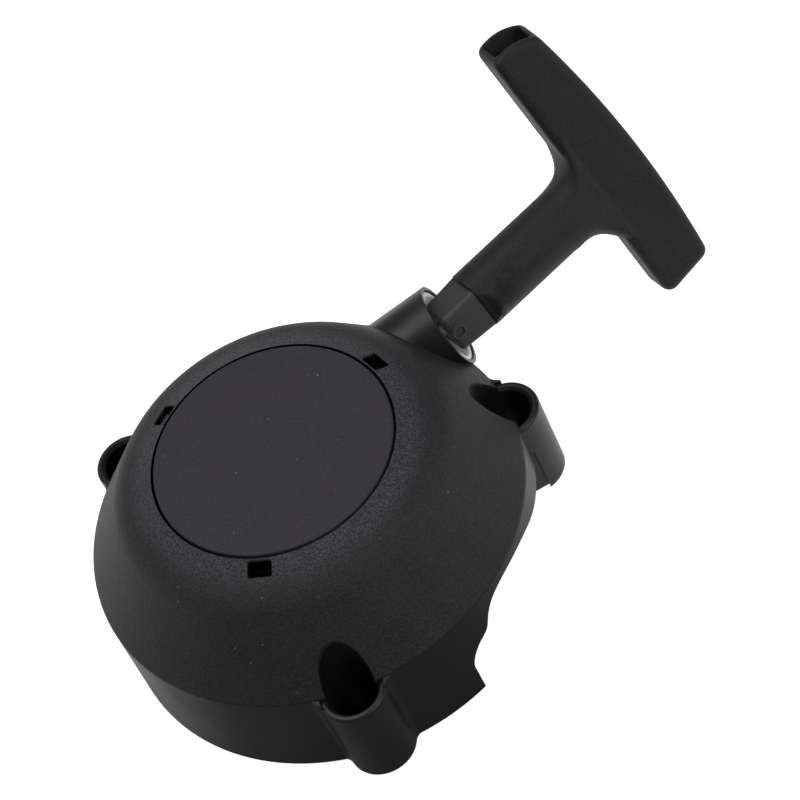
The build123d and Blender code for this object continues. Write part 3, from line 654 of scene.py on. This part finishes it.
VIEW_DIRECTION = Vector((0.07314, -0.62266, 0.77907))
VIEW_RIGHT = Vector((0.90864, -0.28046, -0.30946))
VIEW_DISTANCE = 16 * RIM_R * MM
FOCAL_IN_WIDTHS = 4.540
AIM_RIGHT = 0.1166       # the picture's centre from the line of sight to the rim's centre, in widths
AIM_UP = 0.1370
SENSOR = 36.0
FLOOR_HALF = 3.0
FLOOR_Z = -0.0005
FLOOR_SEEN = 0.85        # brightness in the picture
FLOOR_GLOW = (0.10, 0.95)    # brightness that the object gets, from near side to far side
GLOW_FADE = (-0.03, 0.11)
GLOW_RIGHT = 0.9         # how the bright side reaches round to the right and the left
GLOW_LEFT = -0.4
ROOM_LIGHT = 0.26


def camera():
    """A view from above the front, aimed past the rim's centre so that the whole object fits."""
    back = VIEW_DIRECTION.normalized()
    right = (VIEW_RIGHT - back * VIEW_RIGHT.dot(back)).normalized()
    up = back.cross(right)
    place = Vector((0, 0, RIM_Z * MM)) + back * VIEW_DISTANCE
    ahead = right * AIM_RIGHT + up * AIM_UP - back * FOCAL_IN_WIDTHS
    back = -ahead.normalized()
    right = (right - back * right.dot(back)).normalized()
    turn = Matrix((right, back.cross(right), back)).transposed().to_4x4()
    data = bpy.data.cameras.new("camera")
    data.sensor_width = SENSOR
    data.lens = ahead.length * SENSOR
    data.clip_start = 0.05
    cam = bpy.data.objects.new("camera", data)
    cam.matrix_world = Matrix.Translation(place) @ turn
    bpy.context.collection.objects.link(cam)
    bpy.context.scene.camera = cam


def floor():
    """White paper, bright enough to read as the plain ground and to light the skirt from below."""
    mesh = bpy.data.meshes.new("floor")
    signs = ((-1, -1), (1, -1), (1, 1), (-1, 1))
    corners = [(a * FLOOR_HALF, b * FLOOR_HALF, FLOOR_Z) for a, b in signs]
    mesh.from_pydata(corners, [], [(0, 1, 2, 3)])
    plane = bpy.data.objects.new("floor", mesh)
    bpy.context.collection.objects.link(plane)
    n = Nodes("floor_paper", 0)
    cloud = n.noise(0.3, 2.0)
    seen = n.add("ShaderNodeLightPath").outputs["Is Camera Ray"]
    paper = n.mix(cloud, (0.90, 0.90, 0.90, 1), (0.92, 0.92, 0.92, 1))
    n.finish(n.mix(seen, (0.15, 0.15, 0.15, 1), paper), 0.9, specular=0.1)
    x, y, _ = n.split()
    aside = n.math("MAXIMUM", n.math("MULTIPLY", x, GLOW_RIGHT), n.math("MULTIPLY", x, GLOW_LEFT))
    behind = n.math("ADD", aside, y)
    glow = n.spread(behind, *GLOW_FADE, *FLOOR_GLOW)
    strength = n.math("MAXIMUM", n.math("MULTIPLY", seen, FLOOR_SEEN), glow)
    n.shader.inputs["Emission Color"].default_value = (1, 1, 1, 1)
    n.feed(n.shader.inputs["Emission Strength"], strength)
    clear = n.add("ShaderNodeBsdfTransparent")
    under = n.add("ShaderNodeMixShader")
    n.join(n.add("ShaderNodeNewGeometry").outputs["Backfacing"], under.inputs[0])
    n.join(n.shader.outputs[0], under.inputs[1])
    n.join(clear.outputs[0], under.inputs[2])
    n.join(under.outputs[0], n.out.inputs["Surface"])
    mesh.materials.append(n.material)


def area(name, place, size, power):
    """A square soft box that points at the middle of the cover."""
    data = bpy.data.lights.new(name, "AREA")
    data.shape = "RECTANGLE"
    data.size = data.size_y = size
    data.energy = power
    light = bpy.data.objects.new(name, data)
    light.location = place
    toward = Vector((0, 0, 0.03)) - Vector(place)
    light.rotation_euler = toward.to_track_quat("-Z", "Y").to_euler()
    bpy.context.collection.objects.link(light)


def lights():
    """A dim room that is white in the picture, and two soft boxes."""
    world = bpy.data.worlds.new("world")
    bpy.context.scene.world = world
    world.use_nodes = True
    tree = world.node_tree
    background = tree.nodes["Background"]
    background.inputs[0].default_value = (1, 1, 1, 1)
    seen = tree.nodes.new("ShaderNodeLightPath").outputs["Is Camera Ray"]
    strength = tree.nodes.new("ShaderNodeMapRange")
    tree.links.new(seen, strength.inputs["Value"])
    strength.inputs["To Min"].default_value = ROOM_LIGHT
    strength.inputs["To Max"].default_value = 1.0
    tree.links.new(strength.outputs[0], background.inputs[1])
    area("key", (-0.35, 0.25, 1.3), 0.9, 6.5)
    area("fill", (0.9, -0.7, 0.9), 0.8, 5.0)
    bpy.context.scene.view_settings.view_transform = "Standard"


dress_frame()
smooth_handle()
damper_coil()
rope()
wound_rope()
knot("pulley_knot", "rotor_knot", "rotor", middle("rotor_knot") - UP * 0.6, UP, 1.45, 1.15)
knot("stop_knot", "handle_knot", "rope_end", middle("handle_knot") - STEM_AXIS * 1.6, STEM_AXIS, 1.7, 1.3)
camera()
floor()
lights()
